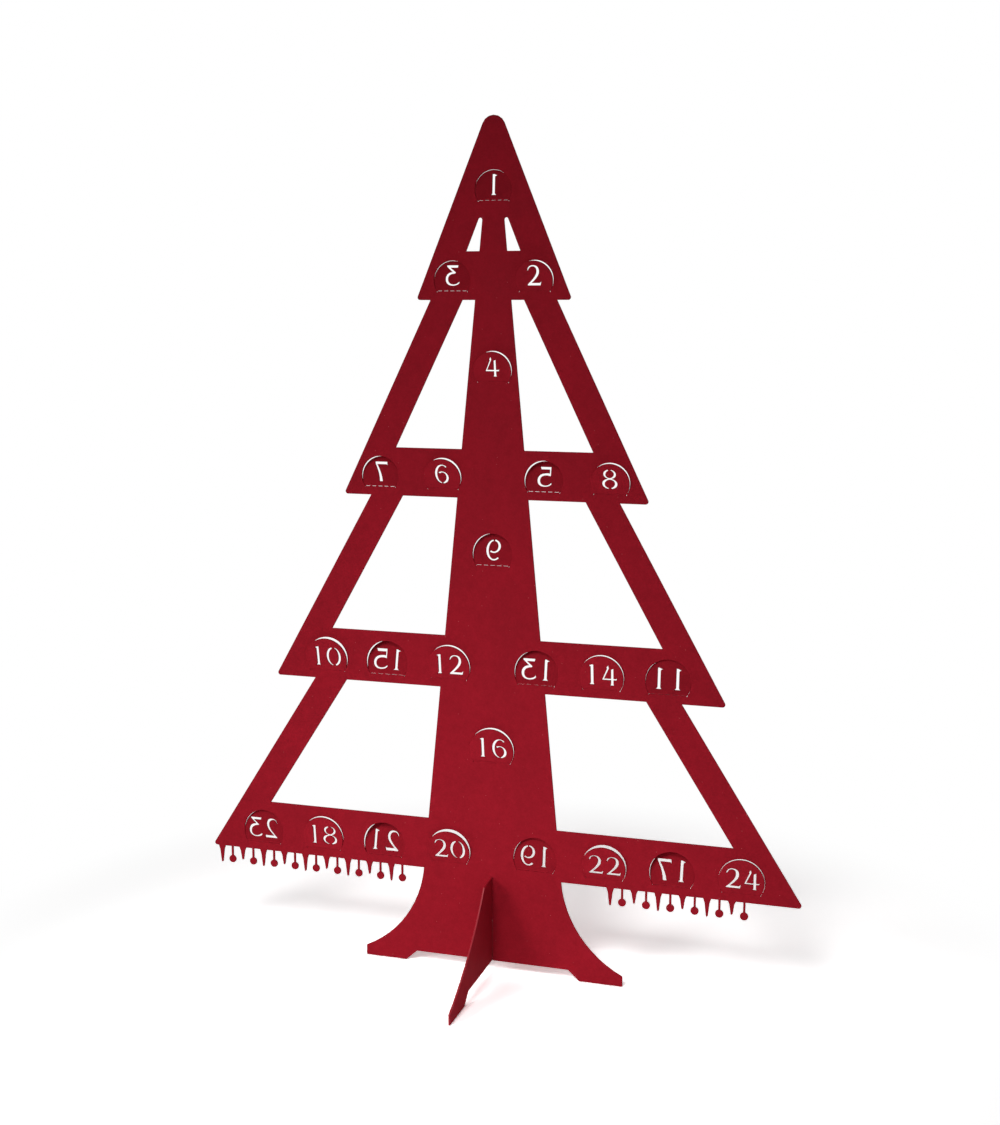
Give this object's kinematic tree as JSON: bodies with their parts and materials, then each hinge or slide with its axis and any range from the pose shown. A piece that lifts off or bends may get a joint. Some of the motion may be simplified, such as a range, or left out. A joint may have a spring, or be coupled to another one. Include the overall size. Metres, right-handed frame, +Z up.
{
  "type": "metal tree advent calendar",
  "caption": "Flat sheet-metal fir tree that stands on a slotted cross foot, with round fold-out day tabs along its bars and trunk.",
  "frame": {"origin": "on the floor, under the middle of the tree and of the cross foot", "axes": "+Z up the trunk, +X to the tree's right as seen from the front, -Y out of the front face"},
  "size_m": [0.4266, 0.1846, 0.5833],
  "materials": {
    "tree": "fine-textured satin powder coat, deep red",
    "tab": "fine-textured satin powder coat, deep red",
    "foot": "fine-textured satin powder coat, deep red"
  },
  "bodies": {
    "tree": {"tree_plate": "tree"},
    "cross_foot": {"cross_foot": "foot"},
    "day_tab_01": {"day_tab_01": "tab"},
    "day_tab_02": {"day_tab_02": "tab"},
    "day_tab_03": {"day_tab_03": "tab"},
    "day_tab_04": {"day_tab_04": "tab"},
    "day_tab_05": {"day_tab_05": "tab"},
    "day_tab_06": {"day_tab_06": "tab"},
    "day_tab_07": {"day_tab_07": "tab"},
    "day_tab_08": {"day_tab_08": "tab"},
    "day_tab_09": {"day_tab_09": "tab"},
    "day_tab_10": {"day_tab_10": "tab"},
    "day_tab_11": {"day_tab_11": "tab"},
    "day_tab_12": {"day_tab_12": "tab"},
    "day_tab_13": {"day_tab_13": "tab"},
    "day_tab_14": {"day_tab_14": "tab"},
    "day_tab_15": {"day_tab_15": "tab"},
    "day_tab_16": {"day_tab_16": "tab"},
    "day_tab_17": {"day_tab_17": "tab"},
    "day_tab_18": {"day_tab_18": "tab"},
    "day_tab_19": {"day_tab_19": "tab"},
    "day_tab_20": {"day_tab_20": "tab"},
    "day_tab_21": {"day_tab_21": "tab"},
    "day_tab_22": {"day_tab_22": "tab"},
    "day_tab_23": {"day_tab_23": "tab"},
    "day_tab_24": {"day_tab_24": "tab"}
  },
  "joints": [
    {"name": "cross_foot_slide", "type": "slide", "parent": "tree", "child": "cross_foot", "axis": [0, 0, -1], "range_m": [0, 0.0314]},
    {"name": "fold_01", "type": "hinge", "parent": "tree", "child": "day_tab_01", "pos_m": [0, 0, 0.5293], "axis": [1, 0, 0], "range_deg": [-81, 4]},
    {"name": "fold_02", "type": "hinge", "parent": "tree", "child": "day_tab_02", "pos_m": [0.0284, 0, 0.4711], "axis": [1, 0, 0], "range_deg": [-13.5, 71.5]},
    {"name": "fold_03", "type": "hinge", "parent": "tree", "child": "day_tab_03", "pos_m": [-0.0284, 0, 0.4711], "axis": [1, 0, 0], "range_deg": [-80, 5]},
    {"name": "fold_04", "type": "hinge", "parent": "tree", "child": "day_tab_04", "pos_m": [0, 0, 0.4117], "axis": [1, 0, 0], "range_deg": [-11.5, 73.5]},
    {"name": "fold_05", "type": "hinge", "parent": "tree", "child": "day_tab_05", "pos_m": [0.0355, 0, 0.3394], "axis": [1, 0, 0], "range_deg": [-70, 15]},
    {"name": "fold_06", "type": "hinge", "parent": "tree", "child": "day_tab_06", "pos_m": [-0.0355, 0, 0.3394], "axis": [1, 0, 0], "range_deg": [-12, 73]},
    {"name": "fold_07", "type": "hinge", "parent": "tree", "child": "day_tab_07", "pos_m": [-0.0807, 0, 0.3394], "axis": [1, 0, 0], "range_deg": [-74, 11]},
    {"name": "fold_08", "type": "hinge", "parent": "tree", "child": "day_tab_08", "pos_m": [0.0807, 0, 0.3394], "axis": [1, 0, 0], "range_deg": [-11, 74]},
    {"name": "fold_09", "type": "hinge", "parent": "tree", "child": "day_tab_09", "pos_m": [0, 0, 0.2882], "axis": [1, 0, 0], "range_deg": [-75, 10]},
    {"name": "fold_10", "type": "hinge", "parent": "tree", "child": "day_tab_10", "pos_m": [-0.1217, 0, 0.2077], "axis": [1, 0, 0], "range_deg": [-11, 74]},
    {"name": "fold_11", "type": "hinge", "parent": "tree", "child": "day_tab_11", "pos_m": [0.1217, 0, 0.2077], "axis": [1, 0, 0], "range_deg": [-81, 4]},
    {"name": "fold_12", "type": "hinge", "parent": "tree", "child": "day_tab_12", "pos_m": [-0.0312, 0, 0.2077], "axis": [1, 0, 0], "range_deg": [-8, 77]},
    {"name": "fold_13", "type": "hinge", "parent": "tree", "child": "day_tab_13", "pos_m": [0.0312, 0, 0.2077], "axis": [1, 0, 0], "range_deg": [-76, 9]},
    {"name": "fold_14", "type": "hinge", "parent": "tree", "child": "day_tab_14", "pos_m": [0.0766, 0, 0.2077], "axis": [1, 0, 0], "range_deg": [-7, 78]},
    {"name": "fold_15", "type": "hinge", "parent": "tree", "child": "day_tab_15", "pos_m": [-0.0766, 0, 0.2077], "axis": [1, 0, 0], "range_deg": [-72, 13]},
    {"name": "fold_16", "type": "hinge", "parent": "tree", "child": "day_tab_16", "pos_m": [0, 0, 0.151], "axis": [1, 0, 0], "range_deg": [-8, 77]},
    {"name": "fold_17", "type": "hinge", "parent": "tree", "child": "day_tab_17", "pos_m": [0.1268, 0, 0.076], "axis": [1, 0, 0], "range_deg": [-72, 13]},
    {"name": "fold_18", "type": "hinge", "parent": "tree", "child": "day_tab_18", "pos_m": [-0.1268, 0, 0.076], "axis": [1, 0, 0], "range_deg": [-6.5, 78.5]},
    {"name": "fold_19", "type": "hinge", "parent": "tree", "child": "day_tab_19", "pos_m": [0.0312, 0, 0.076], "axis": [1, 0, 0], "range_deg": [-79, 6]},
    {"name": "fold_20", "type": "hinge", "parent": "tree", "child": "day_tab_20", "pos_m": [-0.0312, 0, 0.076], "axis": [1, 0, 0], "range_deg": [-11.5, 73.5]},
    {"name": "fold_21", "type": "hinge", "parent": "tree", "child": "day_tab_21", "pos_m": [-0.0801, 0, 0.076], "axis": [1, 0, 0], "range_deg": [-71, 14]},
    {"name": "fold_22", "type": "hinge", "parent": "tree", "child": "day_tab_22", "pos_m": [0.0801, 0, 0.076], "axis": [1, 0, 0], "range_deg": [-11.5, 73.5]},
    {"name": "fold_23", "type": "hinge", "parent": "tree", "child": "day_tab_23", "pos_m": [-0.1736, 0, 0.076], "axis": [1, 0, 0], "range_deg": [-80, 5]},
    {"name": "fold_24", "type": "hinge", "parent": "tree", "child": "day_tab_24", "pos_m": [0.1736, 0, 0.076], "axis": [1, 0, 0], "range_deg": [-5, 80]}
  ]
}
